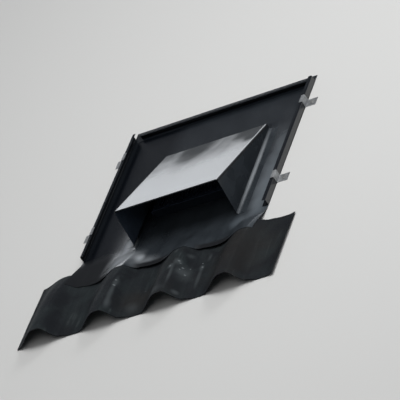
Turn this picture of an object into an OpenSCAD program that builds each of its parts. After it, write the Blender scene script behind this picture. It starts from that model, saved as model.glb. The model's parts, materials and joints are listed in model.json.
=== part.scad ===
// Dormer roof vent: a wedge-shaped sheet-metal hood on a flat base that takes the place
// of three pantiles, with a formed skirt and a lead apron dressed over the tiles below.
// X runs along the eaves, Y runs up the roof, Z stands off the roof. Lengths are millimetres.

/* [Tiles below the vent] */
// Tile widths that the base takes the place of
tiles_across = 3; // [2:1:4]
// Width of one tile, from roll to roll
tile_pitch = 206; // [190:1:230]
// Height of a roll above the pan, at the apron's toe
tile_rise = 52; // [40:1:60]
// Flat crown on top of a roll
roll_crown = 12; // [6:1:18]
// Width of a roll's steep right flank
roll_right = 45; // [35:1:55]
// Width of the flat pan between two rolls
pan_w = 52; // [40:1:60]
// Shift of the rolls to the left, against the base's edges
wave_offset = 18; // [0:1:30]

/* [Base] */
// Thickness of the coated sheet
sheet_t = 1; // [0.6:0.1:1.5]
// Base sheet beyond the tiles' width, on each side
base_margin = 3; // [0:1:12]
// Length of the flat base, from the hood's mouth to the head
base_l = 570; // [520:5:640]
// Inside radius of the folds
fold_r = 2; // [1:0.5:3]
// Foot of a side channel or head bar on the base sheet
fold_foot = 18; // [12:1:26]
// Height of the side channels above the base sheet
channel_h = 20; // [14:1:28]
// Height of the head bar above the base sheet
head_bar_h = 13; // [10:1:18]
// Inward return along the top of a channel or head bar
fold_return = 8; // [5:1:12]
// Nail flange left free above the head bar
nail_flange = 26; // [20:1:34]
// Diameter of the nail holes
nail_d = 5; // [4:0.5:6]
// Distance of the head's nail holes from the base's middle line
head_nail_x = 220; // [150:5:260]

/* [Hood] */
// Width of the hood over its cheeks
hood_w = 346; // [300:2:380]
// Hood's middle line, to the right of the base's
hood_offset = 37; // [0:1:50]
// Length of the hood's foot
hood_l = 370; // [340:5:400]
// Height of the mouth above the base sheet
mouth_h = 117; // [95:1:130]
// How far the hood's front edge leans up the roof
mouth_lean = 17; // [0:1:25]
// Height of the hood's tail above the base sheet
tail_h = 20; // [16:1:26]
// Straight lip below each side bend of the hood's top
lip_h = 4; // [3:0.5:8]
// Width of the hem folded under the hood's front edge
hem_w = 10; // [6:1:14]
// Inside radius of the bend at a cheek's foot
foot_r = 6; // [4:0.5:8]
// Flat foot flange of the cheeks and of the tail angle
foot_w = 22; // [15:1:26]

/* [Throat and guard] */
// Width of the air throat through the base
throat_w = 260; // [200:5:280]
// Length of the air throat
throat_l = 140; // [100:5:150]
// Distance from the mouth to the throat
throat_back = 105; // [95:1:120]
// Height of the upturned tabs round the throat
collar_h = 25; // [15:1:30]
// Width of one slot in the guard
slot_w = 6; // [4:0.5:8]
// Spacing of the guard's slots
slot_pitch = 11; // [10:0.5:14]
// Solid border of the guard round its slots
guard_border = 14; // [10:1:20]
// Lip of the guard, turned down beside the throat's tabs
guard_lip = 9; // [6:1:12]

/* [Skirt and apron] */
// Length of the skirt, from the mouth to its wavy lower edge
skirt_l = 127; // [90:1:140]
// Height of the skirt's waves at its lower edge
skirt_rise = 34; // [20:1:36]
// How far the skirt would stand off the apron in the pans without its lip
skirt_proud = 12; // [9:0.5:14]
// Length of the lip dressed down along the skirt's lower edge
skirt_lip = 18; // [10:1:30]
// Drop of that lip in the pans
skirt_dip = 8.5; // [0:0.5:8.5]
// Length of the apron that shows below the skirt
apron_l = 203; // [150:1:260]
// Length of the apron lapped under the skirt
apron_lap = 50; // [30:1:60]
// Apron beyond the tiles' width, on each side
apron_margin = 113; // [90:1:120]
// Thickness of the lead apron
lead_t = 2; // [1.5:0.1:3]

/* [Cleats] */
// Width of a fixing cleat along the channel
cleat_w = 32; // [24:1:45]
// Flange of a cleat on the batten
cleat_flange = 30; // [24:1:40]
// Reach of a cleat over the channel's top
cleat_hook = 8; // [5:1:10]
// Distance of the lower cleats from the mouth
cleat_low = 110; // [60:5:160]
// Distance between the lower and the upper cleats
cleat_spacing = 330; // [280:5:380]

/* [Hidden] */
$fn = 64;
// Gap between pieces that seat on one another without being soldered
seat_gap = 0.2;
// Overshoot of cutting shapes
cut = 1;

// Rows of the model up the roof, with the origin in the middle of the outline
total_l = base_l + skirt_l + apron_l;
head_y = total_l / 2;
mouth_y = head_y - base_l;
seam_y = mouth_y - skirt_l;
toe_y = -total_l / 2;
lap_y = seam_y + apron_lap;
tail_y = mouth_y + hood_l;
base_w = tiles_across * tile_pitch + 2 * base_margin;
apron_w = tiles_across * tile_pitch + 2 * apron_margin;
floor_z = sheet_t;

// Slope of the hood's top against the base, and the height of its outer face at y
hood_slope = atan2(mouth_h - tail_h, hood_l - mouth_lean);
hood_run = norm([hood_l - mouth_lean, mouth_h - tail_h]);
function hood_top_z(y) = floor_z + mouth_h - (y - mouth_y - mouth_lean) * tan(hood_slope);
function under_top_z(y) = hood_top_z(y) - sheet_t / cos(hood_slope);
lip_drop = sheet_t + fold_r + lip_h;

throat_y = mouth_y + throat_back;
cleat_low_y = mouth_y + cleat_low;
cleat_high_y = cleat_low_y + cleat_spacing;
cleat_hole_x = base_w / 2 + seat_gap + sheet_t + fold_r + cleat_flange / 2;

// Wave of the tiles: a share of the roll's height, from 0 in the pan to 1 on the crown
roll_left = tile_pitch - roll_crown - roll_right - pan_w;
function crest_x(i) = (i - tiles_across / 2) * tile_pitch - wave_offset;
function ease(s) = (1 + cos(180 * s)) / 2;
function from_crest(x) =
    let (start = crest_x(0) - roll_crown / 2 - roll_left, along = x - start)
    along - tile_pitch * floor(along / tile_pitch) - roll_left - roll_crown / 2;
function wave(x) =
    let (u = from_crest(x), out = abs(u) - roll_crown / 2)
    out <= 0 ? 1 : u < 0 ? ease(min(1, out / roll_left)) : ease(min(1, out / roll_right));

// Height of the waves at y: flat at the mouth, skirt_rise at the seam, tile_rise at the toe
seam_share = skirt_l / (skirt_l + apron_l);
rise_power = 1.5;
rise_rate = -ln(1 - skirt_rise / tile_rise) / pow(seam_share, rise_power);
function rise(y) =
    let (s = (mouth_y - y) / (mouth_y - toe_y))
    tile_rise * (1 - exp(-rise_rate * pow(s, rise_power)));
function tile_z(x, y) = rise(y) * wave(x);
// The skirt climbs on top of the apron where the two lap and stands off it in the pans
function skirt_z(x, y) =
    let (
        lap = min(1, (mouth_y - y) / (mouth_y - lap_y)),
        low = (mouth_y - y) / skirt_l,
        lip = max(0, 1 - (y - seam_y) / skirt_lip),
        stand = skirt_proud * pow(low, 2) - skirt_dip * lip)
    tile_z(x, y) + (lead_t + seat_gap) * (1 - ease(lap)) + stand * pow(1 - wave(x), 2);

// Columns of a formed sheet, close together only where the wave bends
left_steps = 8;
right_steps = 6;
function roll_xs(i) = concat(
    [for (k = [0 : left_steps]) crest_x(i) - roll_crown / 2 - roll_left * (1 - k / left_steps)],
    [for (k = [0 : right_steps]) crest_x(i) + roll_crown / 2 + roll_right * k / right_steps]);
function wave_xs(half) = concat(
    [-half],
    [for (i = [-1 : tiles_across + 1]) for (x = roll_xs(i)) if (abs(x) < half - cut) x],
    [half]);
function rows(from, to, n) = [for (k = [0 : n]) from + (to - from) * k / n];
function joined(a, b) = concat(a, [for (k = [1 : len(b) - 1]) b[k]]);
lap_rows = rows(seam_y, lap_y, 4);
skirt_rows = concat([seam_y], rows(seam_y + skirt_lip, lap_y, 3));

coat = [0.13, 0.14, 0.15];
lead = [0.24, 0.25, 0.26];
zinc = [0.55, 0.57, 0.59];

// Ring sector of a bend that turns by the given angle, starting straight below its centre
module bend(r, t, turn) {
    reach = 2 * (r + t);
    intersection() {
        difference() {
            circle(r + t);
            circle(r);
        }
        rotate(-90) polygon([[0, 0], [reach, 0], reach * [cos(turn), sin(turn)]]);
    }
}

// Cross-section of a folded sheet. Each leg is [length, turn after it]; the sheet lies to
// the left of the line that the legs follow, and every fold has the same inside radius.
module folded(legs, t, r, i = 0) {
    if (i < len(legs)) {
        turn = legs[i][1];
        square([legs[i][0], t]);
        translate([legs[i][0], 0]) {
            if (turn > 0)
                translate([0, t + r]) {
                    bend(r, t, turn);
                    rotate(turn) translate([0, -t - r]) folded(legs, t, r, i + 1);
                }
            if (turn < 0)
                translate([0, -r]) {
                    mirror([0, 1]) bend(r, t, -turn);
                    rotate(turn) translate([0, r]) folded(legs, t, r, i + 1);
                }
        }
    }
}

// A cross-section drawn in X and Z, run along Y
module run_along_y(from, to) {
    translate([0, to, 0]) rotate([90, 0, 0]) linear_extrude(to - from) children();
}

// A cross-section drawn in Y and Z, run along X
module run_along_x(from, to) {
    translate([from, 0, 0]) rotate([90, 0, 90]) linear_extrude(to - from) children();
}

// A sheet of even height formed over the surface under(x, y)
module formed_sheet(xs, ys, t, under) {
    nx = len(xs);
    ny = len(ys);
    layer = nx * ny;
    points = [for (h = [0, t]) for (y = ys) for (x = xs) [x, y, under(x, y) + h]];
    below = [for (j = [0 : ny - 2]) for (i = [0 : nx - 2]) let (a = j * nx + i)
        each [[a, a + 1, a + nx + 1], [a, a + nx + 1, a + nx]]];
    above = [for (f = below) [layer + f[0], layer + f[2], layer + f[1]]];
    rim = concat(
        [for (i = [0 : nx - 2]) i],
        [for (j = [0 : ny - 2]) j * nx + nx - 1],
        [for (i = [nx - 1 : -1 : 1]) (ny - 1) * nx + i],
        [for (j = [ny - 1 : -1 : 1]) j * nx]);
    n = len(rim);
    sides = [for (k = [0 : n - 1]) let (a = rim[k], b = rim[(k + 1) % n])
        each [[a, layer + a, layer + b], [a, layer + b, b]]];
    polyhedron(points, concat(below, above, sides));
}

// Outline of the hood seen from its side, in Y and Z, filled down to the base sheet
module hood_side() {
    polygon([
        [mouth_y, floor_z], [mouth_y + mouth_lean, floor_z + mouth_h],
        [tail_y, floor_z + tail_h], [tail_y, floor_z]]);
}

module base_sheet() {
    color(coat) difference() {
        translate([-base_w / 2, mouth_y, 0]) cube([base_w, base_l, sheet_t]);
        translate([hood_offset - throat_w / 2, throat_y, -cut])
            cube([throat_w, throat_l, sheet_t + 2 * cut]);
        for (side = [-1, 1])
            translate([side * head_nail_x, head_y - nail_flange / 2, -cut])
                cylinder(d = nail_d, h = sheet_t + 2 * cut);
    }
}

// Water channel along the right edge of the base; its foot is soldered to the sheet
module side_channel() {
    corner = sheet_t + fold_r;
    legs = [[fold_foot, 90], [channel_h - 2 * corner, 90], [fold_return, 0]];
    color(coat)
        run_along_y(mouth_y, head_y - nail_flange)
            translate([base_w / 2 - corner - fold_foot, floor_z]) folded(legs, sheet_t, fold_r);
}

// Water bar across the head, between the two channels
module head_bar() {
    corner = sheet_t + fold_r;
    legs = [[fold_foot, 90], [head_bar_h - 2 * corner, 90], [fold_return, 0]];
    reach = base_w / 2 - corner - fold_foot - seat_gap;
    color(coat)
        run_along_x(-reach, reach)
            translate([head_y - nail_flange - corner - fold_foot, floor_z])
                folded(legs, sheet_t, fold_r);
}

// Top of the hood: one sheet bent down along both sides and hemmed at the front
module hood_top() {
    corner = sheet_t + fold_r;
    legs = [[lip_h, -90], [hood_w - 2 * corner, -90], [lip_h, 0]];
    color(coat)
        translate([hood_offset, 0, 0])
            intersection() {
                run_along_x(-hood_w, hood_w) hood_side();
                translate([0, mouth_y + mouth_lean, floor_z + mouth_h])
                    rotate([-hood_slope, 0, 0]) {
                        run_along_y(-hood_run / 2, 2 * hood_run)
                            translate([sheet_t - hood_w / 2, -lip_drop])
                                rotate(90) folded(legs, sheet_t, fold_r);
                        translate([corner - hood_w / 2, -hem_w, -2 * sheet_t])
                            cube([hood_w - 2 * corner, 2 * hem_w, sheet_t]);
                    }
            }
}

// Right cheek: upright below the lip of the top, bent outwards into a foot flange
module cheek() {
    legs = [[foot_w, -90], [mouth_h, 0]];
    color(coat)
        intersection() {
            run_along_y(mouth_y - cut, tail_y + cut)
                translate([hood_w / 2 + foot_r + foot_w, floor_z + sheet_t])
                    rotate(180) folded(legs, sheet_t, foot_r);
            run_along_x(0, hood_w)
                intersection() {
                    hood_side();
                    translate([mouth_y + mouth_lean, floor_z + mouth_h])
                        rotate(-hood_slope)
                            translate([-hood_l, -lip_drop - 2 * hood_l])
                                square([3 * hood_l, 2 * hood_l]);
                }
        }
}

// Angle that closes the hood's tail, with its foot turned up the roof
module tail_angle() {
    corner = sheet_t + fold_r;
    leg = under_top_z(tail_y) - floor_z - corner;
    reach = hood_w / 2 - corner;
    legs = [[foot_w, -90], [leg, 0]];
    color(coat)
        translate([hood_offset, 0, 0])
            run_along_x(-reach, reach)
                translate([tail_y + fold_r + foot_w, floor_z + sheet_t])
                    rotate(180) folded(legs, sheet_t, fold_r);
}

// Slotted guard that lies on the throat's tabs, with a lip down beside the left and right ones
module bird_guard() {
    inner_w = throat_w + 2 * (sheet_t + fold_r);
    seat_z = floor_z + collar_h;
    slots = floor((throat_w - 2 * guard_border - slot_w) / slot_pitch);
    legs = [[guard_lip, -90], [inner_w - 2 * fold_r, -90], [guard_lip, 0]];
    color(coat)
        translate([hood_offset, 0, 0])
            difference() {
                run_along_y(throat_y - sheet_t, throat_y + throat_l + sheet_t)
                    translate([-inner_w / 2, seat_z - fold_r - guard_lip])
                        rotate(90) folded(legs, sheet_t, fold_r);
                for (k = [0 : slots]) {
                    slot_x = (k - slots / 2) * slot_pitch - slot_w / 2;
                    translate([slot_x, throat_y + guard_border, seat_z - cut])
                        cube([slot_w, throat_l - 2 * guard_border, sheet_t + 2 * cut]);
                }
            }
}

// Tab turned up along one edge of the throat; dx and dy point from the throat's middle
module throat_tab(dx, dy) {
    w = dx == 0 ? throat_w : sheet_t;
    l = dy == 0 ? throat_l : sheet_t;
    color(coat)
        translate([
            hood_offset + dx * (throat_w + sheet_t) / 2 - w / 2,
            throat_y + throat_l / 2 + dy * (throat_l + sheet_t) / 2 - l / 2,
            floor_z])
            cube([w, l, collar_h]);
}

// Skirt below the mouth: flat where it meets the base, waved like the tiles at its edge
module front_skirt() {
    color(coat)
        formed_sheet(wave_xs(base_w / 2), joined(skirt_rows, rows(lap_y, mouth_y, 6)), sheet_t,
            function(x, y) skirt_z(x, y));
}

// Lead apron, lapped under the skirt and dressed down over the rolls of the tiles
module lead_apron() {
    color(lead)
        formed_sheet(wave_xs(apron_w / 2), joined(rows(toe_y, seam_y, 10), lap_rows), lead_t,
            function(x, y) tile_z(x, y));
}

// Cleat that hooks over the right channel and is nailed to the batten beside it
module cleat(y) {
    corner = sheet_t + fold_r;
    rise_leg = floor_z + channel_h + seat_gap - corner - fold_r;
    legs = [[cleat_flange, 90], [rise_leg, -90], [cleat_hook, 0]];
    color(zinc)
        difference() {
            mirror([1, 0, 0])
                run_along_y(y - cleat_w / 2, y + cleat_w / 2)
                    translate([-base_w / 2 - seat_gap - corner - cleat_flange, 0])
                        folded(legs, sheet_t, fold_r);
            translate([cleat_hole_x, y, -cut]) cylinder(d = nail_d, h = sheet_t + 2 * cut);
        }
}

base_sheet();
mirror([1, 0, 0]) side_channel();  // left_side_channel
side_channel();  // right_side_channel
head_bar();
hood_top();
translate([hood_offset, 0, 0]) mirror([1, 0, 0]) cheek();  // left_cheek
translate([hood_offset, 0, 0]) cheek();  // right_cheek
tail_angle();
bird_guard();
throat_tab(0, -1);  // throat_front_tab
throat_tab(0, 1);  // throat_back_tab
throat_tab(-1, 0);  // throat_left_tab
throat_tab(1, 0);  // throat_right_tab
front_skirt();
lead_apron();
mirror([1, 0, 0]) cleat(cleat_low_y);  // left_lower_cleat
mirror([1, 0, 0]) cleat(cleat_high_y);  // left_upper_cleat
cleat(cleat_low_y);  // right_lower_cleat
cleat(cleat_high_y);  // right_upper_cleat
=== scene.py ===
"""Looks of a dormer roof vent: glossy dark sheet metal, a dressed lead apron and its fixings.

Everything is in metres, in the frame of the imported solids: X to the right as seen from before the
mouth, Y from the mouth to the tail and Z up from the base sheet.
"""

import json
import math

import bpy
from mathutils import Matrix, Vector, noise


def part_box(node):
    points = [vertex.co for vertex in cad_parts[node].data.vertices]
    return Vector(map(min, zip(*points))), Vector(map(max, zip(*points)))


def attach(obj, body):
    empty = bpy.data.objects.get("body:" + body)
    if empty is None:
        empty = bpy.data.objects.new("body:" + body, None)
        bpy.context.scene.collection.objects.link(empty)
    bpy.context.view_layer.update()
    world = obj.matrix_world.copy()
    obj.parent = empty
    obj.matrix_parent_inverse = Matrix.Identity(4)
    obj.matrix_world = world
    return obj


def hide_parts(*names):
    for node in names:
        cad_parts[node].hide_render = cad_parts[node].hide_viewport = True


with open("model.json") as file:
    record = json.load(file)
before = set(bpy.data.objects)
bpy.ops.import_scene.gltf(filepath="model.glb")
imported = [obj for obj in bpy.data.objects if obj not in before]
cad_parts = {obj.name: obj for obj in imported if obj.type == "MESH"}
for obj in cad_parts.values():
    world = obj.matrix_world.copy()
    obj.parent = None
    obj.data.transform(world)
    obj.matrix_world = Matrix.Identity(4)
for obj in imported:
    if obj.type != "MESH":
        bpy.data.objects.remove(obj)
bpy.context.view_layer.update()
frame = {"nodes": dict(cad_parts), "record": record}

MM = 0.001

# Sheet and folds
SHEET = 0.001
FOLD_R = 0.002
FOOT_R = 0.006
LIP = 0.004
HEM = 0.010
HEM_LAP = 0.0006
HEM_SHEET = 0.9 * SHEET
SOLDER_STEP = 0.1 * SHEET
SMOOTH_ANGLE = math.radians(38)

# Wave of the skirt and the apron
ROLL_PITCH = 0.206
ROLLS_ACROSS = 3
ROLL_RISE = 0.052
ROLL_CROWN = 0.012
ROLL_RIGHT = 0.045
PAN_W = 0.052
ROLL_LEFT = ROLL_PITCH - ROLL_CROWN - ROLL_RIGHT - PAN_W
WAVE_OFFSET = 0.018
FIRST_CREST = -ROLLS_ACROSS / 2 * ROLL_PITCH - WAVE_OFFSET
RISE_POWER = 1.5
# The sheets bridge the corner at the foot of a roll's steep flank: share of the roll, reach to each side
BRIDGE_SHARE = 0.17
BRIDGE_REACH = 0.036

# Skirt: its waves' height at the edge, how far it stands off the lead in the pans, the roll of its edge,
# and the share of both in the left pan
SKIRT_RISE = 0.034
SKIRT_PROUD = 0.012
SKIRT_ROLL = 0.032
SKIRT_DROP = 0.005
LEFT_PAN_X = (-0.26, -0.16)
LEFT_PAN_SHARE = 0.2

# Lead, with the gap that it leaves under the skirt and the unevenness of hand dressing
LEAD = 0.002
LAP_GAP = 0.0002
DRESS_BROAD = 0.0009
DRESS_FINE = 0.0004
DRESS_LIFT = 0.0006
DRESS_FADE = 0.02
TOE_WANDER = 0.0015

# Dents of thin sheet: height and scale on each piece, how late they fade towards the hood's edges,
# and the margin of the base in which they fade
HOOD_DENT = (0.00035, 7.0)
CHEEK_DENT = (0.0003, 9.0)
BASE_DENT = (0.00025, 6.0)
ACROSS_POWER = 4
ALONG_POWER = 6
CALM_MARGIN = 0.05

# Steps of the meshes
LIP_STEPS = 3
FOLD_STEPS = 8
BEND_STEPS = 10
HOOD_ACROSS = 90
HOOD_ALONG = 96
HEM_ACROSS = 60
CHEEK_ALONG = 90
CHEEK_UP = 24
BASE_ACROSS = (40, 40, 26)
BASE_ALONG = (20, 24, 50)
SKIRT_ACROSS = 330
SKIRT_ALONG = (16, 50)
APRON_ACROSS = 520
APRON_ALONG = 120

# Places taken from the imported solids
base_low, base_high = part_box("base_sheet")
top_low, top_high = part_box("hood_top")
skirt_low, skirt_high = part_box("front_skirt")
apron_low, apron_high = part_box("lead_apron")
_, cheek_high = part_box("right_cheek")
_, tail_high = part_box("tail_angle")
MOUTH_Y = base_low.y
FLOOR_Z = base_high.z
TAIL_Y = top_high.y
SEAM_Y = skirt_low.y
TOE_Y = apron_low.y
LAP_Y = apron_high.y
HOOD_X = (top_low.x + top_high.x) / 2
HOOD_HALF = (top_high.x - top_low.x) / 2
RIGHT_EDGE = HOOD_X + HOOD_HALF
FOOT_OUT = cheek_high.x - top_high.x

# Hood's side outline
MOUTH_H = top_high.z - FLOOR_Z
MOUTH_LEAN = 0.017
TAIL_H = 0.020
HOOD_SLOPE = math.atan2(MOUTH_H - TAIL_H, TAIL_Y - MOUTH_Y - MOUTH_LEAN)

# Shallow dish of the sheet beside the left cheek's foot: its rise and its fall across,
# its fades before and behind the foot's corner, and its height
DISH_RISE = (-0.235, -0.130)
DISH_FALL = (-0.130, -0.080)
DISH_DOWN = (-0.20, -0.12)
DISH_UP = (-0.11, 0.06)
DISH_POWER = 2.0
DISH_H = 0.017

# Marks on the lead: brown patches, and pale runs and blots of lime, as soft ellipses with a strength
BROWN_PATCHES = [
    ((-0.030, -0.395, 0.0), (0.085, 0.075, 0.12), 0.8),
    ((0.290, -0.320, 0.02), (0.17, 0.17, 0.12), 0.7),
]
LIME_RUNS = [
    ((-0.104, -0.360, 0.04), (0.007, 0.09, 0.12), 0.45),
    ((-0.103, -0.415, 0.045), (0.010, 0.03, 0.12), 0.5),
    ((0.096, -0.370, 0.04), (0.006, 0.07, 0.12), 0.4),
    ((0.120, -0.350, 0.02), (0.030, 0.05, 0.12), 0.25),
    ((0.160, -0.365, 0.0), (0.007, 0.06, 0.12), 0.35),
    ((-0.042, -0.415, 0.0), (0.035, 0.03, 0.12), 0.3),
    ((0.060, -0.425, 0.04), (0.05, 0.02, 0.12), 0.25),
    ((0.088, -0.340, 0.04), (0.011, 0.016, 0.12), 0.60),
    ((0.101, -0.316, 0.04), (0.013, 0.018, 0.12), 0.50),
    ((0.078, -0.264, 0.04), (0.009, 0.016, 0.12), 0.40),
    ((0.118, -0.280, 0.03), (0.014, 0.016, 0.12), 0.40),
    ((0.116, -0.352, 0.03), (0.017, 0.016, 0.12), 0.45),
    ((0.159, -0.326, 0.00), (0.010, 0.020, 0.12), 0.55),
    ((0.172, -0.285, 0.00), (0.009, 0.022, 0.12), 0.35),
    ((0.117, -0.432, 0.03), (0.010, 0.011, 0.12), 0.50),
    ((-0.104, -0.330, 0.04), (0.012, 0.020, 0.12), 0.30),
]
# Dried drops of lime on the lead, as x, y and radius
LIME_DROPS = [
    (-0.104, -0.339, 0.0034), (-0.105, -0.317, 0.0026), (0.087, -0.340, 0.0036), (0.103, -0.315, 0.0030),
    (0.114, -0.336, 0.0028), (0.107, -0.322, 0.0020), (0.122, -0.358, 0.0026), (0.110, -0.345, 0.0018),
    (0.160, -0.324, 0.0030), (0.157, -0.309, 0.0018), (0.128, -0.330, 0.0016), (-0.020, -0.352, 0.0015),
    (0.232, -0.330, 0.0016), (-0.160, -0.372, 0.0017),
]
# A drop's height in the middle, and its rings as a share of the radius and a height
DROP_TOP = 0.0007
DROP_RINGS = [(0.6, 0.0006), (1.0, -0.0002)]
DROP_SIDES = 14
DROP_RAGGED = 0.35
# Creases from dressing the lead by hand, as start, end and height
CREASES = [
    ((0.086, -0.262), (0.100, -0.372), 0.0011), ((0.112, -0.268), (0.121, -0.352), 0.0009),
    ((-0.098, -0.270), (-0.102, -0.410), 0.0009), ((0.150, -0.300), (0.166, -0.405), 0.0009),
    ((-0.250, -0.265), (-0.236, -0.380), 0.0008), ((0.300, -0.275), (0.306, -0.390), 0.0009),
]
CREASE_HALF = 0.004
CREASE_WANDER = 0.003

# Rivets of the tail angle's foot: spaces between them, and insets from the hood's sides and the foot's edge
RIVET_SPACES = 4
RIVET_INSET = 0.035
RIVET_EDGE = 0.011

# Camera of the photograph: place, and its right, down and forward directions
CAMERA_AT = Vector((5.0284, -6.9957, 4.418))
CAMERA_RIGHT = Vector((0.8170, 0.2551, -0.5172))
CAMERA_DOWN = Vector((-0.2582, -0.6401, -0.7236))
CAMERA_FORWARD = Vector((-0.5156, 0.7247, -0.4571))
CAMERA_REACH = 200.0
SENSOR_MM = 36.0
FOCAL_PX = 3500.0
FRAME_PX = 400.0

# Half of the floor's side
FLOOR_HALF = 30.0


def mix(a, b, t):
    return a + (b - a) * t


def ease(s):
    """1 at 0, falling smoothly to 0 at 1."""
    s = min(1.0, max(0.0, s))
    return (1 + math.cos(math.pi * s)) / 2


def fade_out(s, power):
    """1 in the middle of -1 to 1 and 0 at both ends; with a higher power it falls later."""
    return 1 - s**power


def wave(x):
    """Share of a roll's height at x: 0 in a pan and 1 on a crown, with the bridged corner added."""
    start = FIRST_CREST - ROLL_CROWN / 2 - ROLL_LEFT
    u = (x - start) % ROLL_PITCH - ROLL_LEFT - ROLL_CROWN / 2
    out = abs(u) - ROLL_CROWN / 2
    if out <= 0:
        return 1.0
    if u < 0:
        return ease(out / ROLL_LEFT)
    return ease(out / ROLL_RIGHT) + BRIDGE_SHARE * ease(abs(out - ROLL_RIGHT) / BRIDGE_REACH)


SEAM_SHARE = (MOUTH_Y - SEAM_Y) / (MOUTH_Y - TOE_Y)
RISE_RATE = -math.log(1 - SKIRT_RISE / ROLL_RISE) / SEAM_SHARE**RISE_POWER


def rise(y):
    """Height of the rolls at y: nothing at the mouth, nearly the full roll at the toe."""
    s = max(0.0, (MOUTH_Y - y) / (MOUTH_Y - TOE_Y))
    return ROLL_RISE * (1 - math.exp(-RISE_RATE * s**RISE_POWER))


def spread(low, high, n):
    """Numbers from low to high in n equal steps."""
    return [mix(low, high, k / n) for k in range(n + 1)]


def spread_over(stops, steps):
    """Numbers from the first stop to the last, with its own count of steps between each two stops."""
    made = [stops[0]]
    for low, high, n in zip(stops, stops[1:], steps):
        made += spread(low, high, n)[1:]
    return made


def ripple(x, y, scale, seed):
    """Smooth noise from -1 to 1, the same on every run."""
    return noise.noise(Vector((x * scale + seed, y * scale - seed, 7.3 * seed)))


# Mesh helpers


def add_object(name, verts, faces, material):
    mesh = bpy.data.meshes.new(name)
    mesh.from_pydata([tuple(v) for v in verts], [], faces)
    mesh.validate()
    mesh.update()
    obj = bpy.data.objects.new(name, mesh)
    bpy.context.scene.collection.objects.link(obj)
    obj.data.materials.append(material)
    return obj


def smooth(obj):
    obj.data.shade_smooth()
    obj.data.set_sharp_from_angle(angle=SMOOTH_ANGLE)


def thicken(obj, thickness, backing=None):
    """Gives a one-sided sheet its thickness and, if wanted, another finish on its inner face."""
    solid = obj.modifiers.new("thickness", "SOLIDIFY")
    solid.thickness = thickness
    solid.offset = -1
    solid.use_even_offset = True
    if backing:
        obj.data.materials.append(backing)
        solid.material_offset = 1
    graph = bpy.context.evaluated_depsgraph_get()
    made = bpy.data.meshes.new_from_object(obj.evaluated_get(graph))
    obj.modifiers.clear()
    old = obj.data
    obj.data = made
    made.name = obj.name
    bpy.data.meshes.remove(old)
    smooth(obj)


def grid_sheet(name, rows, thickness, material, keep=None, backing=None):
    """Sheet over a grid of points; keep(j, i) says which cells are sheet and which are cut out."""
    across = len(rows[0])
    verts = [p for row in rows for p in row]
    faces = []
    for j in range(len(rows) - 1):
        for i in range(across - 1):
            if keep is None or keep(j, i):
                a = j * across + i
                faces.append((a, a + 1, a + across + 1, a + across))
    obj = add_object(name, verts, faces, material)
    thicken(obj, thickness, backing)
    return obj


def arc(cx, cy, r, from_deg, to_deg, n):
    """Points of an arc in a plane, both ends included."""
    angles = spread(math.radians(from_deg), math.radians(to_deg), n)
    return [(cx + r * math.cos(a), cy + r * math.sin(a)) for a in angles]


def stand_for(obj, *nodes):
    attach(obj, "root")
    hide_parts(*nodes)
    return obj


def joined(name, shapes, material):
    """One object from several small shapes, each a list of points and a list of faces."""
    verts, faces = [], []
    for v, f in shapes:
        faces += [tuple(i + len(verts) for i in face) for face in f]
        verts += v
    obj = add_object(name, verts, faces, material)
    smooth(obj)
    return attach(obj, "root")


# Material helpers


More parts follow.
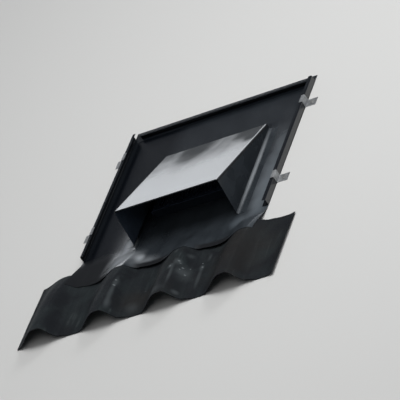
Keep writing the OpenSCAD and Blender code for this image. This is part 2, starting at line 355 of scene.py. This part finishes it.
class Nodes:
    """Short names for building one material's node tree."""

    def __init__(self, name):
        self.material = bpy.data.materials.new(name)
        self.material.use_nodes = True
        self.tree = self.material.node_tree
        self.shader = self.tree.nodes["Principled BSDF"]
        self.place = self.tree.nodes.new("ShaderNodeTexCoord").outputs["Object"]

    def new(self, kind, **values):
        node = self.tree.nodes.new(kind)
        for key, value in values.items():
            setattr(node, key, value)
        return node

    def link(self, a, b):
        self.tree.links.new(a, b)

    def scaled(self, x, y, z):
        node = self.new("ShaderNodeMapping")
        node.inputs["Scale"].default_value = (x, y, z)
        self.link(self.place, node.inputs["Vector"])
        return node.outputs["Vector"]

    def noise(self, scale, detail=4.0, roughness=0.55, vector=None, distortion=0.0):
        node = self.new("ShaderNodeTexNoise")
        node.inputs["Scale"].default_value = scale
        node.inputs["Detail"].default_value = detail
        node.inputs["Roughness"].default_value = roughness
        node.inputs["Distortion"].default_value = distortion
        self.link(vector or self.place, node.inputs["Vector"])
        return node.outputs["Fac"]

    def band(self, value, low, high, to_low=0.0, to_high=1.0, kind="SMOOTHSTEP"):
        """Maps low..high onto to_low..to_high, smoothly and without overshoot."""
        node = self.new("ShaderNodeMapRange", interpolation_type=kind)
        self.link(value, node.inputs["Value"])
        node.inputs["From Min"].default_value = low
        node.inputs["From Max"].default_value = high
        node.inputs["To Min"].default_value = to_low
        node.inputs["To Max"].default_value = to_high
        return node.outputs["Result"]

    def math(self, kind, a, b):
        node = self.new("ShaderNodeMath", operation=kind)
        for socket, value in zip(node.inputs, (a, b)):
            if isinstance(value, (int, float)):
                socket.default_value = value
            else:
                self.link(value, socket)
        return node.outputs["Value"]

    def blend(self, factor, a, b):
        """Colour a where factor is 0 and b where it is 1; a and b are colours or sockets."""
        node = self.new("ShaderNodeMix", data_type="RGBA")
        self.link(factor, node.inputs["Factor"])
        for socket, value in ((node.inputs[6], a), (node.inputs[7], b)):
            if isinstance(value, tuple):
                socket.default_value = (*value, 1.0)
            else:
                self.link(value, socket)
        return node.outputs[2]

    def along(self, axis):
        node = self.new("ShaderNodeSeparateXYZ")
        self.link(self.place, node.inputs["Vector"])
        return node.outputs[axis]

    def spot(self, at, radius, ragged=0.12):
        """1 in the middle of a soft ellipse, 0 beyond its radius; the rim wanders by the share ragged."""
        off = self.new("ShaderNodeVectorMath", operation="SUBTRACT")
        off.inputs[1].default_value = at
        self.link(self.place, off.inputs[0])
        share = self.new("ShaderNodeVectorMath", operation="DIVIDE")
        share.inputs[1].default_value = radius
        self.link(off.outputs["Vector"], share.inputs[0])
        away = self.new("ShaderNodeVectorMath", operation="LENGTH")
        self.link(share.outputs["Vector"], away.inputs[0])
        wander = self.band(self.noise(20.0, detail=1.0), 0.3, 0.7, -ragged, ragged)
        return self.band(self.math("ADD", away.outputs["Value"], wander), 0.05, 1.0, 1.0, 0.0)

    def bump(self, height, distance, strength=1.0, below=None):
        node = self.new("ShaderNodeBump")
        node.inputs["Distance"].default_value = distance
        node.inputs["Strength"].default_value = strength
        self.link(height, node.inputs["Height"])
        if below is not None:
            self.link(below, node.inputs["Normal"])
        return node.outputs["Normal"]

    def into(self, socket, value):
        """Sets a shader input to a number or a colour, or links a socket to it."""
        if isinstance(value, (int, float)):
            self.shader.inputs[socket].default_value = value
        elif isinstance(value, tuple):
            self.shader.inputs[socket].default_value = (*value, 1.0)
        else:
            self.link(value, self.shader.inputs[socket])


# Finishes

# Coat of the sheet: its own tone, the film of dust, the pale tone of painted highlights, the dark tone of
# painted shade, and specks
COAT_TONE = (0.0025, 0.0034, 0.0052)
FILM_TONE = (0.077, 0.092, 0.106)
PALE_TONE = (0.345, 0.37, 0.395)
SHADE_TONE = (0.007, 0.008, 0.010)
SPECK_TONE = (0.085, 0.09, 0.09)
# Roughness of the clean sheet, of the pale spots, of the places of painted shade and of the coat itself
CLEAN_ROUGH = 0.2
PALE_ROUGH = 0.75
DULL_ROUGH = 0.85
COAT_ROUGH = 0.16
COAT_IOR = 1.5
# A pale spot of painted highlight loses its gloss sooner than it takes the pale tone, by this factor
PALE_MATT = 2.6


def dish_height(m):
    """Share of the dish's height, which grows towards the foot of the left cheek."""
    dish = m.math("POWER", m.band(m.along("X"), *DISH_RISE, kind="LINEAR"), DISH_POWER)
    dish = m.math("MULTIPLY", dish, m.band(m.along("X"), *DISH_FALL, 1.0, 0.0))
    dish = m.math("MULTIPLY", dish, m.band(m.along("Y"), *DISH_DOWN))
    return m.math("MULTIPLY", dish, m.band(m.along("Y"), *DISH_UP, 1.0, 0.0))


def coated_sheet(name, dust, shine, specular=0.5, film_tone=FILM_TONE, matt=0.6, ragged=0.12,
                 drift=(), stains=(), film_free=(), pale_spots=(), shaded=(), dished=False):
    """Glossy blue-black coat under a film of dust; on the top the film is a painted dark reflection.

    drift limits the film along an axis, stains are soft ellipses of film, and film_free bands are clear of
    it.
    pale_spots are soft ellipses in the pale tone of metal, which paint highlights and a little wear.
    shaded places, each where all its bands along the axes meet, get painted shade: dark and matt.
    A dished sheet curves up towards the foot of the left cheek.
    """
    m = Nodes(name)
    clouds = m.noise(9.0, detail=6.0)
    runs = m.noise(1.0, detail=3.0, vector=m.scaled(45.0, 4.0, 30.0))
    specks = m.noise(380.0, detail=2.0)
    film = m.math("MULTIPLY", m.band(clouds, 0.30, 0.70, 0.6, 1.0), m.band(runs, 0.25, 0.75, 0.8, 1.0))
    film = m.math("MULTIPLY", film, dust)
    for axis, low, high, to_low, to_high in drift:
        film = m.math("MULTIPLY", film, m.band(m.along(axis), low, high, to_low, to_high))
    for at, radius, strength in stains:
        cloudy = m.band(clouds, 0.2, 0.6, 0.9 * strength, strength)
        film = m.math("MAXIMUM", film, m.math("MULTIPLY", m.spot(at, radius, ragged), cloudy))
    for axis, low, high in film_free:
        film = m.math("MULTIPLY", film, m.band(m.along(axis), low, high, 1.0, 0.0))
    tone = m.blend(film, COAT_TONE, film_tone)
    rough = m.band(film, 0.0, 1.0, CLEAN_ROUGH, matt)
    gloss = m.band(film, 0.1, 0.9, shine, 0.0)
    # Pale spots paint highlights: pale tone, matt, without the coat's gloss
    for at, radius, strength in pale_spots:
        pale_share = m.math("MULTIPLY", m.spot(at, radius, ragged), strength)
        tone = m.blend(pale_share, tone, PALE_TONE)
        matt_share = m.math("MINIMUM", m.math("MULTIPLY", pale_share, PALE_MATT), 1.0)
        rough = m.math("MAXIMUM", rough, m.math("MULTIPLY", matt_share, PALE_ROUGH))
        gloss = m.math("MULTIPLY", gloss, m.math("SUBTRACT", 1.0, matt_share))
    # Places of painted shade: dark tone, matt, without the coat's gloss
    for bands in shaded:
        dull = 1.0
        for axis, low, high in bands:
            dull = m.math("MULTIPLY", m.band(m.along(axis), low, high), dull)
        tone = m.blend(dull, tone, SHADE_TONE)
        rough = m.math("MAXIMUM", rough, m.math("MULTIPLY", dull, DULL_ROUGH))
        gloss = m.math("MULTIPLY", gloss, m.math("SUBTRACT", 1.0, dull))
    m.into("Base Color", m.blend(m.band(specks, 0.74, 0.82, 0.0, 0.3), tone, SPECK_TONE))
    m.into("Roughness", rough)
    m.into("IOR", COAT_IOR)
    m.into("Specular IOR Level", specular)
    m.into("Coat Weight", gloss)
    m.into("Coat Roughness", COAT_ROUGH)
    peel = m.bump(m.noise(200.0, detail=1.0), distance=0.00004, strength=0.2)
    normal = m.bump(m.noise(7.0, detail=1.0), distance=0.0006, strength=0.4, below=peel)
    if dished:
        normal = m.bump(dish_height(m), distance=DISH_H, below=normal)
    m.into("Normal", normal)
    return m.material


def dressed_lead():
    """Matt dark lead with grey-green and brown patina, pale runs and dressing marks."""
    dark = (0.0105, 0.012, 0.0145)
    grey = (0.017, 0.0215, 0.0235)
    pale = (0.075, 0.085, 0.087)
    brown = (0.0175, 0.0165, 0.0165)
    brown_patch = (0.0175, 0.0168, 0.0165)
    lime_run = (0.07, 0.08, 0.085)
    m = Nodes("dressed_lead")
    patches = m.noise(11.0, detail=7.0, roughness=0.6, distortion=0.6)
    rusty = m.noise(5.0, detail=5.0, vector=m.scaled(1.0, 0.6, 1.0))
    runs = m.noise(1.0, detail=6.0, vector=m.scaled(120.0, 9.0, 40.0))
    grain = m.noise(260.0, detail=4.0)
    tone = m.blend(m.band(patches, 0.36, 0.66), dark, grey)
    tone = m.blend(m.band(rusty, 0.50, 0.72, 0.0, 0.7), tone, brown)
    streaks = m.math("MULTIPLY", m.band(runs, 0.56, 0.74), m.band(patches, 0.42, 0.6))
    tone = m.blend(m.math("MULTIPLY", streaks, 0.3), tone, pale)
    for at, radius, strength in BROWN_PATCHES:
        tone = m.blend(m.math("MULTIPLY", m.spot(at, radius), strength), tone, brown_patch)
    for at, radius, strength in LIME_RUNS:
        tone = m.blend(m.math("MULTIPLY", m.spot(at, radius), strength), tone, lime_run)
    m.into("Base Color", tone)
    m.into("Roughness", m.band(grain, 0.3, 0.7, 0.62, 0.8))
    m.into("Specular IOR Level", 0.08)
    fine = m.bump(grain, distance=0.0002, strength=0.5)
    m.into("Normal", m.bump(m.noise(70.0, detail=3.0), distance=0.0008, strength=0.45, below=fine))
    return m.material


def zinc_strip():
    """Dull zinc with a faint spangle."""
    dark = (0.30, 0.31, 0.32)
    light = (0.44, 0.45, 0.46)
    stain = (0.21, 0.215, 0.215)
    m = Nodes("zinc_strip")
    flakes = m.new("ShaderNodeTexVoronoi")
    flakes.inputs["Scale"].default_value = 140.0
    m.link(m.place, flakes.inputs["Vector"])
    spangle = m.blend(m.band(flakes.outputs["Color"], 0.0, 1.0), dark, light)
    dull = m.noise(60.0, detail=5.0)
    m.into("Base Color", m.blend(m.band(dull, 0.45, 0.75, 0.0, 0.6), spangle, stain))
    m.into("Metallic", 0.85)
    m.into("Roughness", m.band(dull, 0.3, 0.7, 0.38, 0.6))
    m.into("Normal", m.bump(dull, distance=0.00015, strength=0.4))
    return m.material


def guard_sheet():
    """Matt blue-black sheet with dust in it."""
    clean = (0.060, 0.080, 0.115)
    dusty = (0.075, 0.095, 0.130)
    m = Nodes("guard_sheet")
    dust = m.noise(45.0, detail=5.0)
    m.into("Base Color", m.blend(m.band(dust, 0.45, 0.8), clean, dusty))
    m.into("Roughness", m.band(dust, 0.3, 0.7, 0.7, 0.9))
    m.into("Specular IOR Level", 0.05)
    return m.material


def matt_primer(name, tone):
    """Matt dark primer on the inner faces, with a little dust."""
    dusty = tuple(c * 1.35 for c in tone)
    m = Nodes(name)
    dust = m.noise(30.0, detail=4.0)
    m.into("Base Color", m.blend(m.band(dust, 0.4, 0.8), tone, dusty))
    m.into("Roughness", 0.75)
    m.into("Specular IOR Level", 0.1)
    return m.material


def dull_steel(name, tone):
    """Weathered fixings: dull metal with darker stains."""
    dark = tuple(c * 0.45 for c in tone)
    m = Nodes(name)
    stain = m.noise(150.0, detail=5.0)
    m.into("Base Color", m.blend(m.band(stain, 0.42, 0.7), tone, dark))
    m.into("Metallic", 0.6)
    m.into("Roughness", m.band(stain, 0.3, 0.7, 0.35, 0.6))
    return m.material


def lime():
    """Pale chalky drops that have dried on the lead."""
    damp = (0.075, 0.086, 0.092)
    dry = (0.115, 0.13, 0.136)
    m = Nodes("lime")
    m.into("Base Color", m.blend(m.noise(700.0, detail=3.0), damp, dry))
    m.into("Roughness", 0.9)
    return m.material


def pale_floor():
    """Plain matt floor."""
    m = Nodes("pale_floor")
    m.into("Base Color", (0.60, 0.60, 0.59))
    m.into("Roughness", 0.9)
    m.into("Specular IOR Level", 0.1)
    return m.material


COAT = coated_sheet("coated_sheet", dust=0.06, shine=0.2)
CHEEK_COAT = coated_sheet("coated_sheet_cheek", dust=0.36, shine=0.05, specular=0.15)

# Painted dark reflection on the top: its film is dark and matt, grows towards the low end at the tail and
# gathers in these soft patches
TOP_DARK_REFLECTIONS = [
    ((-0.012, 0.250, 0.02), (0.145, 0.235, 0.2), 1.0),
    ((0.172, 0.262, 0.02), (0.158, 0.195, 0.2), 1.0),
    ((0.188, 0.190, 0.04), (0.062, 0.080, 0.2), 1.0),
]
# Along the top's right edge the fold is kept clear of the painted dark reflection, so its gloss shows
# bright, and the lip below it gets painted shade
RIGHT_FOLD = ("X", RIGHT_EDGE - 0.0075, RIGHT_EDGE - 0.0040)
RIGHT_LIP_SHADE = ("X", RIGHT_EDGE - 0.0012, RIGHT_EDGE - 0.0002)
TOP_COAT = coated_sheet(
    "coated_sheet_top", dust=0.85, shine=1.0, film_tone=(0.018, 0.021, 0.024), matt=0.72, ragged=0.04,
    drift=[("Y", -0.03, 0.28, 0.06, 1.0)],
    stains=TOP_DARK_REFLECTIONS,
    film_free=[RIGHT_FOLD],
    shaded=[[RIGHT_LIP_SHADE]],
)

# Painted highlights in the pale tone of metal: at the corner of the left cheek's foot, along the first roll
# below it and in spots beside that roll, near the skirt's edge
PAINTED_HIGHLIGHTS = [
    ((-0.156, -0.114, 0.0), (0.034, 0.060, 0.06), 1.0),
    ((-0.186, -0.142, 0.003), (0.040, 0.060, 0.06), 0.15),
    ((-0.149, -0.192, 0.02), (0.060, 0.095, 0.06), 0.55),
    ((-0.100, -0.195, 0.015), (0.045, 0.055, 0.06), 0.27),
    ((-0.084, -0.201, 0.009), (0.021, 0.026, 0.04), 0.7),
    ((-0.055, -0.228, 0.010), (0.060, 0.042, 0.06), 0.32),
]
# A painted highlight runs as a pale line along the right cheek's foot
FOOT_HIGHLIGHT = ((0.213, 0.06, 0.004), (0.010, 0.26, 0.02), 0.5)
FOOT_COAT = coated_sheet(
    "coated_sheet_foot", dust=0.4, shine=0.0, ragged=0.05, dished=True,
    pale_spots=PAINTED_HIGHLIGHTS + [FOOT_HIGHLIGHT],
)

# Dust lies in the narrow gutter right of the hood and on the skirt before it; in the gutter it also paints
# a pale reflection
FLOOR_DUST_AND_SHEEN = [
    ((0.278, -0.05, 0.0), (0.065, 0.38, 0.05), 1.0),
    ((0.225, -0.165, 0.01), (0.06, 0.06, 0.06), 0.8),
]
# The gutter also takes a little wear, which adds to the painted reflection there
GUTTER_WEAR_AND_SHEEN = ((0.262, 0.05, 0.0), (0.055, 0.34, 0.05), 0.12)
# Painted shade, dark and matt: on the skirt's edge in the pans, where it rolls down away from the light,
# and on the far left of the skirt
SKIRT_EDGE_SHADE = [("Y", SEAM_Y + 0.024, SEAM_Y + 0.012), ("Z", 0.026, 0.012)]
LEFT_CORNER_SHADE = [("X", -0.168, -0.225), ("Y", -0.09, -0.165)]
FLOOR_COAT = coated_sheet(
    "coated_sheet_floor", dust=0.55, shine=0.8, specular=0.2, ragged=0.06, dished=True,
    drift=[("X", -0.17, -0.09, 0.04, 1.0), ("Y", 0.0, 0.12, 0.86, 0.35)],
    stains=FLOOR_DUST_AND_SHEEN,
    pale_spots=PAINTED_HIGHLIGHTS + [GUTTER_WEAR_AND_SHEEN],
    shaded=[SKIRT_EDGE_SHADE, LEFT_CORNER_SHADE],
)
BACKING = matt_primer("matt_backing", (0.034, 0.046, 0.065))
THROAT_FINISH = matt_primer("matt_throat", (0.010, 0.014, 0.020))
LEAD_SHEET = dressed_lead()
ZINC = zinc_strip()
GUARD = guard_sheet()
NAIL = dull_steel("nail", (0.32, 0.32, 0.31))
LIME = lime()


# Hood


def hood_point(along, x, off):
    """Point of the hood's top: along its slope from the front edge, at x, and off its outer face."""
    y = MOUTH_Y + MOUTH_LEAN + along * math.cos(HOOD_SLOPE) + off * math.sin(HOOD_SLOPE)
    z = FLOOR_Z + MOUTH_H - along * math.sin(HOOD_SLOPE) + off * math.cos(HOOD_SLOPE)
    return Vector((HOOD_X + x, y, z))


def hood_span(off):
    """Where a line along the slope, off the outer face, meets the leaning front and the tail."""
    lean = MOUTH_LEAN / MOUTH_H
    sin, cos = math.sin(HOOD_SLOPE), math.cos(HOOD_SLOPE)
    start = off * (lean * cos - sin) / (cos + lean * sin)
    end = (TAIL_Y - MOUTH_Y - MOUTH_LEAN - off * sin) / cos
    return start, end


def hood_section():
    """Outer line of the top's cross-section, from the left lip to the right one."""
    r = SHEET + FOLD_R
    flat = HOOD_HALF - r
    lip = [(-HOOD_HALF, off) for off in spread(-r - LIP, -r, LIP_STEPS)][:-1]
    left = lip + arc(-flat, -r, r, 180, 90, FOLD_STEPS)
    right = [(-x, off) for x, off in reversed(left)]
    across = [(x, 0.0) for x in spread(-flat, flat, HOOD_ACROSS)][1:-1]
    return left + across + right


def make_hood_top():
    section = hood_section()
    dent_h, dent_scale = HOOD_DENT
    rows = []
    for t in spread(0.0, 1.0, HOOD_ALONG):
        row = []
        for x, off in section:
            start, end = hood_span(off)
            along = mix(start, end, t)
            calm = fade_out(x / HOOD_HALF, ACROSS_POWER) * fade_out(2 * t - 1, ALONG_POWER)
            dent = dent_h * calm * ripple(x, along, dent_scale, 1.0)
            row.append(hood_point(along, x, off + dent))
        rows.append(row)
    obj = grid_sheet("hood_top_sheet", rows, SHEET, TOP_COAT, backing=BACKING)
    return stand_for(obj, "hood_top")


def make_front_hem():
    """Front edge of the top, folded back under itself."""
    half = HOOD_HALF - (2 * SHEET + FOLD_R)
    turn = arc(0.0, -SHEET, SHEET, 90, 270, BEND_STEPS)[1:]
    rows = []
    for along, off in [(HEM_LAP, 0.0)] + turn + [(HEM, -2 * SHEET)]:
        rows.append([hood_point(along, x, off) for x in spread(-half, half, HEM_ACROSS)])
    return stand_for(grid_sheet("hood_front_hem", rows, HEM_SHEET, COAT), "hood_top")


def cheek_front_y(z):
    return MOUTH_Y + MOUTH_LEAN * (z - FLOOR_Z) / MOUTH_H


def lip_line_z(y):
    """Height of the lip's lower edge, where the cheek begins."""
    drop = (SHEET + FOLD_R + LIP) / math.cos(HOOD_SLOPE)
    return FLOOR_Z + MOUTH_H - (y - MOUTH_Y - MOUTH_LEAN) * math.tan(HOOD_SLOPE) - drop


def cheek_point(t, share, bend_top):
    """Y and Z of a point of the cheek: t runs from the front to the tail, share from the bend to the lip.

    The front leans and the lip slopes, so the two are found together by a few repeats.
    """
    repeats = 8
    y = mix(MOUTH_Y, TAIL_Y, t)
    for _ in range(repeats):
        z = mix(bend_top, lip_line_z(y), share)
        y = mix(cheek_front_y(z), TAIL_Y, t)
    return y, z


def cheek_sheet(name, side, rows, finish, node):
    """One piece of a cheek; rows hold (out, y, z) with out counted from the hood's side."""
    placed = [[Vector((HOOD_X + side * (HOOD_HALF + out), y, z)) for out, y, z in row] for row in rows]
    if side > 0:
        placed.reverse()
    return stand_for(grid_sheet(name, placed, SHEET, finish, backing=BACKING), node)


def make_cheek(node, side):
    """One cheek with its rounded foot; side is 1 for the right cheek and -1 for the left."""
    dent_h, dent_scale = CHEEK_DENT
    foot_top = FLOOR_Z + SHEET
    bend_top = foot_top + FOOT_R
    soldered_edge = FLOOR_Z + SOLDER_STEP
    flange = [(FOOT_OUT, soldered_edge), (mix(FOOT_OUT, FOOT_R, 0.5), foot_top)]
    bend = arc(FOOT_R, bend_top, FOOT_R, 270, 180, BEND_STEPS)
    foot_rows, upright_rows = [], []
    for t in spread(0.0, 1.0, CHEEK_ALONG):
        foot_rows.append([(out, mix(cheek_front_y(z), TAIL_Y, t), z) for out, z in flange + bend])
        row = []
        for share in spread(0.0, 1.0, CHEEK_UP):
            y, z = cheek_point(t, share, bend_top)
            calm = fade_out(2 * share - 1, ACROSS_POWER) * fade_out(2 * t - 1, ALONG_POWER)
            row.append((dent_h * calm * ripple(y, z, dent_scale, 3.0 * side), y, z))
        upright_rows.append(row)
    cheek_sheet(node + "_foot", side, foot_rows, FOOT_COAT, node)
    cheek_sheet(node + "_sheet", side, upright_rows, CHEEK_COAT, node)


# Base, skirt and apron


def make_base():
    """Flat base sheet with the throat cut out; a little uneven, as thin sheet is."""
    low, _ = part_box("throat_left_tab")
    _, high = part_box("throat_right_tab")
    front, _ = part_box("throat_front_tab")
    _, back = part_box("throat_back_tab")
    hole_x = (low.x + SHEET, high.x - SHEET)
    hole_y = (front.y + SHEET, back.y - SHEET)
    xs = spread_over((base_low.x, *hole_x, base_high.x), BASE_ACROSS)
    ys = spread_over((base_low.y, *hole_y, base_high.y), BASE_ALONG)
    dent_h, dent_scale = BASE_DENT
    rows = []
    for y in ys:
        row = []
        for x in xs:
            margin = min(x - base_low.x, base_high.x - x, y - base_low.y)
            calm = min(1.0, margin / CALM_MARGIN)
            under_hood = abs(x - HOOD_X) < HOOD_HALF + FOOT_OUT and y < TAIL_Y + FOOT_OUT
            dent = 0.0 if under_hood else dent_h * calm * ripple(x, y, dent_scale, 5.0)
            row.append(Vector((x, y, FLOOR_Z + dent)))
        rows.append(row)

    def is_sheet(j, i):
        inside_x = hole_x[0] < (xs[i] + xs[i + 1]) / 2 < hole_x[1]
        inside_y = hole_y[0] < (ys[j] + ys[j + 1]) / 2 < hole_y[1]
        return not (inside_x and inside_y)

    obj = grid_sheet("base_sheet_flat", rows, SHEET, FLOOR_COAT, is_sheet)
    return stand_for(obj, "base_sheet")


def skirt_z(x, y):
    """Upper face of the skirt.

    It stands off the lead in the pans, least in the left one, and its edge rolls down.
    """
    lap = min(1.0, (MOUTH_Y - y) / (MOUTH_Y - LAP_Y))
    low = (MOUTH_Y - y) / (MOUTH_Y - SEAM_Y)
    roll = max(0.0, 1 - (y - SEAM_Y) / SKIRT_ROLL)
    lift = (LEAD + LAP_GAP) * (1 - ease(lap))
    left = ease((x - LEFT_PAN_X[0]) / (LEFT_PAN_X[1] - LEFT_PAN_X[0]))
    stand = (SKIRT_PROUD * low**2 - SKIRT_DROP * roll**2) * mix(1.0, LEFT_PAN_SHARE, left)
    return rise(y) * wave(x) + lift + stand * (1 - wave(x)) ** 2 + SHEET


def make_skirt():
    xs = spread(skirt_low.x, skirt_high.x, SKIRT_ACROSS)
    ys = spread_over((SEAM_Y, SEAM_Y + SKIRT_ROLL, MOUTH_Y), SKIRT_ALONG)
    rows = [[Vector((x, y, skirt_z(x, y))) for x in xs] for y in ys]
    obj = grid_sheet("front_skirt_sheet", rows, SHEET, FLOOR_COAT)
    return stand_for(obj, "front_skirt")


def crease(x, y):
    """Height of the ridges that dressing by hand leaves in the lead."""
    total = 0.0
    for (x0, y0), (x1, y1), height in CREASES:
        t = (y - y0) / (y1 - y0)
        if 0 < t < 1:
            middle = mix(x0, x1, t) + CREASE_WANDER * ripple(y, x0, 30.0, 17.0)
            total += height * ease(abs(x - middle) / CREASE_HALF) * math.sin(math.pi * t) ** 0.5
    return total


def apron_z(x, y):
    """Upper face of the lead, with the unevenness of hand dressing."""
    free = min(1.0, max(0.0, (SEAM_Y - y) / DRESS_FADE))
    marks = DRESS_BROAD * ripple(x, y, 14.0, 9.0) + DRESS_FINE * ripple(x, y, 45.0, 11.0)
    return rise(y) * wave(x) + LEAD + free * (marks + DRESS_LIFT) + crease(x, y)


def make_apron():
    xs = spread(apron_low.x, apron_high.x, APRON_ACROSS)
    rows = []
    for t in spread(0.0, 1.0, APRON_ALONG):
        row = []
        for x in xs:
            toe = TOE_Y + TOE_WANDER * (1 + ripple(x, 0.0, 16.0, 13.0))
            y = mix(toe, LAP_Y, t)
            row.append(Vector((x, y, apron_z(x, y))))
        rows.append(row)
    return stand_for(grid_sheet("lead_apron_sheet", rows, LEAD, LEAD_SHEET), "lead_apron")


def lime_drop(x, y, r, seed):
    """Flat dried drop with a ragged rim that follows the lead."""
    n = DROP_SIDES
    verts, faces = [Vector((x, y, apron_z(x, y) + DROP_TOP))], []
    for share, lift in DROP_RINGS:
        for i in range(n):
            a = 2 * math.pi * i / n
            reach = r * share * (1 + DROP_RAGGED * ripple(math.cos(a), math.sin(a), 1.3, seed))
            px, py = x + reach * math.cos(a), y + reach * math.sin(a)
            verts.append(Vector((px, py, apron_z(px, py) + lift)))
    for i in range(n):
        j = (i + 1) % n
        faces.append((0, 1 + i, 1 + j))
        faces.append((1 + i, 1 + n + i, 1 + n + j, 1 + j))
    return verts, faces


def make_lime_drops():
    shapes = [lime_drop(x, y, r, 20.0 + k) for k, (x, y, r) in enumerate(LIME_DROPS)]
    return joined("lime_drops", shapes, LIME)


# Small fixings


def lathe(profile, at, n=20):
    """Turned shape about an upright axis; profile is (radius, height) from the rim to the axis."""
    verts, faces = [], []
    for r, h in profile:
        ring = [at + Vector((r * math.cos(a), r * math.sin(a), h)) for a in spread(0, 2 * math.pi, n)[:-1]]
        verts += ring
    for j in range(len(profile) - 1):
        for i in range(n):
            k = (i + 1) % n
            faces.append((j * n + i, j * n + k, (j + 1) * n + k, (j + 1) * n + i))
    faces.append(tuple((len(profile) - 1) * n + i for i in range(n)))
    faces.append(tuple(reversed(range(n))))
    return verts, faces


def rivet(at):
    """Low domed head on a thin rim, with a dimple in the middle."""
    r, h, rim = 0.0032, 0.0013, 0.0003
    dome = [(r * math.cos(a), rim + h * math.sin(a)) for a in spread(0.3, 1.15, 6)]
    dimple = (0.0011, 0.75 * h)
    return lathe([(r, 0.0), (r, rim)] + dome + [dimple], at)


def nail(at):
    """Flat head with a chamfered rim."""
    r, h = 0.0052, 0.0011
    return lathe([(r, 0.0), (r, h * 0.7), (r * 0.86, h), (r * 0.3, h * 1.12)], at)


def make_rivets():
    """Rivets of the tail angle's foot, behind the hood."""
    half = HOOD_HALF - RIVET_INSET
    y = tail_high.y - RIVET_EDGE
    z = FLOOR_Z + SHEET
    shapes = [rivet(Vector((HOOD_X + x, y, z))) for x in spread(-half, half, RIVET_SPACES)]
    return joined("tail_rivets", shapes, COAT)


def make_nails():
    """Nails at the places of the record's bolt patterns."""
    shapes = []
    for mount in frame["record"]["mounts"]:
        if mount["kind"] != "bolt_pattern":
            continue
        dims = mount["dims"]
        dx = dims.get("spacing_x_mm", 0) * MM / 2
        dy = dims.get("spacing_y_mm", 0) * MM / 2
        places = {(sx * dx, sy * dy) for sx in (-1, 1) for sy in (-1, 1)}
        for x, y in sorted(places):
            shapes.append(nail(Vector(mount["pos_m"]) + Vector((x, y, SHEET))))
    return joined("clout_nails", shapes, NAIL)


def paint_nodes():
    """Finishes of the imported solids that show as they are."""
    finish = {"coated_sheet": COAT, "guard": GUARD, "zinc_strip": ZINC, "lead": LEAD_SHEET}
    for part in frame["record"]["subparts"]:
        obj = frame["nodes"][part["node"]]
        inside = part["node"].startswith("throat")
        obj.data.materials.clear()
        obj.data.materials.append(THROAT_FINISH if inside else finish[part["material_slot"]])


# Stage


def area_light(name, at, aim, size, power, tint=(1.0, 1.0, 1.0), mirrored=True):
    """Soft lamp of a width and a height; one that isn't mirrored leaves no highlight in glossy faces."""
    lamp = bpy.data.lights.new(name, "AREA")
    lamp.shape = "RECTANGLE"
    lamp.size, lamp.size_y = size
    lamp.energy = power
    lamp.color = tint
    obj = bpy.data.objects.new(name, lamp)
    bpy.context.scene.collection.objects.link(obj)
    obj.location = at
    obj.rotation_euler = (Vector(aim) - Vector(at)).to_track_quat("-Z", "Y").to_euler()
    obj.visible_glossy = mirrored


def make_lamps():
    area_light("key", at=(1.0, 0.8, 4.8), aim=(0, 0, 0), size=(3.2, 3.2), power=215)
    area_light("rim", at=(2.3, 3.7, 2.6), aim=(0, 0, 0), size=(1.8, 1.4), power=70, mirrored=False)
    area_light("back_strip", at=(-2.6, 4.4, 0.62), aim=(0, 0, 0.1), size=(6.0, 1.2), power=16.5,
               tint=(0.93, 0.97, 1.0))
    area_light("front_fill", at=(2.0, -3.0, 4.4), aim=(0, 0, 0), size=(3.0, 3.0), power=50)


def make_world():
    """Soft studio surround: pale at the horizon behind the tail, dim overhead and before the mouth."""
    horizon = (0.84, 0.87, 0.92, 1.0)
    low_sky = (0.78, 0.82, 0.88, 1.0)
    overhead = (0.035, 0.038, 0.045, 1.0)
    low_sky_at = 0.12
    overhead_at = 0.44
    dim_from = 0.4
    dim_to = -0.5
    dim_share = 0.4
    world = bpy.data.worlds.new("surround")
    bpy.context.scene.world = world
    world.use_nodes = True
    tree = world.node_tree
    back = tree.nodes["Background"]
    place = tree.nodes.new("ShaderNodeTexCoord")
    split = tree.nodes.new("ShaderNodeSeparateXYZ")
    ramp = tree.nodes.new("ShaderNodeValToRGB")
    front = tree.nodes.new("ShaderNodeMapRange")
    tree.links.new(place.outputs["Generated"], split.inputs["Vector"])
    tree.links.new(split.outputs["Z"], ramp.inputs["Fac"])
    stops = ramp.color_ramp.elements
    stops[0].position = 0.0
    stops[0].color = horizon
    stops[1].position = overhead_at
    stops[1].color = overhead
    stops.new(low_sky_at).color = low_sky
    front.interpolation_type = "SMOOTHSTEP"
    tree.links.new(split.outputs["Y"], front.inputs["Value"])
    front.inputs["From Min"].default_value = dim_to
    front.inputs["From Max"].default_value = dim_from
    front.inputs["To Min"].default_value = dim_share
    tree.links.new(ramp.outputs["Color"], back.inputs["Color"])
    tree.links.new(front.outputs["Result"], back.inputs["Strength"])


def make_floor():
    h = FLOOR_HALF
    corners = [(-h, -h, 0), (h, -h, 0), (h, h, 0), (-h, h, 0)]
    floor = add_object("floor", corners, [(0, 1, 2, 3)], pale_floor())


def make_camera():
    data = bpy.data.cameras.new("camera")
    data.sensor_width = SENSOR_MM
    data.lens = FOCAL_PX / FRAME_PX * SENSOR_MM
    data.clip_end = CAMERA_REACH
    cam = bpy.data.objects.new("camera", data)
    bpy.context.scene.collection.objects.link(cam)
    turn = Matrix((CAMERA_RIGHT, -CAMERA_DOWN, -CAMERA_FORWARD)).transposed()
    cam.matrix_world = Matrix.Translation(CAMERA_AT) @ turn.to_4x4()
    bpy.context.scene.camera = cam


paint_nodes()
make_camera()
make_hood_top()
make_front_hem()
make_cheek("left_cheek", -1)
make_cheek("right_cheek", 1)
make_base()
make_skirt()
make_apron()
make_lime_drops()
make_rivets()
make_nails()
make_floor()
make_world()
make_lamps()
bpy.context.scene.view_settings.view_transform = "Standard"
